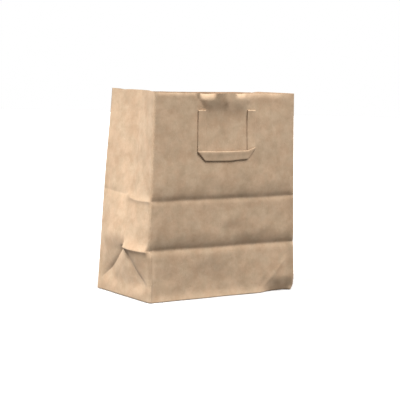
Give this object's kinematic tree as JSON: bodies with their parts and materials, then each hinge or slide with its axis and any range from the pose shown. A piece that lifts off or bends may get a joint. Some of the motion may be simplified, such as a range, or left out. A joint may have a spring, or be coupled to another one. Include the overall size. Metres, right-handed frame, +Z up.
{
  "type": "paper carrier bag",
  "caption": "Brown kraft paper carrier bag standing open, with gusseted sides, a folded block bottom, pressed-in creases and flat paper handles folded down on its faces.",
  "frame": {"origin": "centre of the rectangular base, on the surface that the bag stands on", "axes": "+Z up through the open mouth; the front panel faces -Y; the gusseted sides face -X and +X"},
  "size_m": [0.3266, 0.1826, 0.356],
  "materials": {
    "kraft_paper": "matte",
    "kraft_tape": "matte"
  },
  "bodies": {
    "root": {"bag_body": "kraft_paper", "handle_front": "kraft_tape", "handle_back": "kraft_tape"}
  },
  "joints": []
}
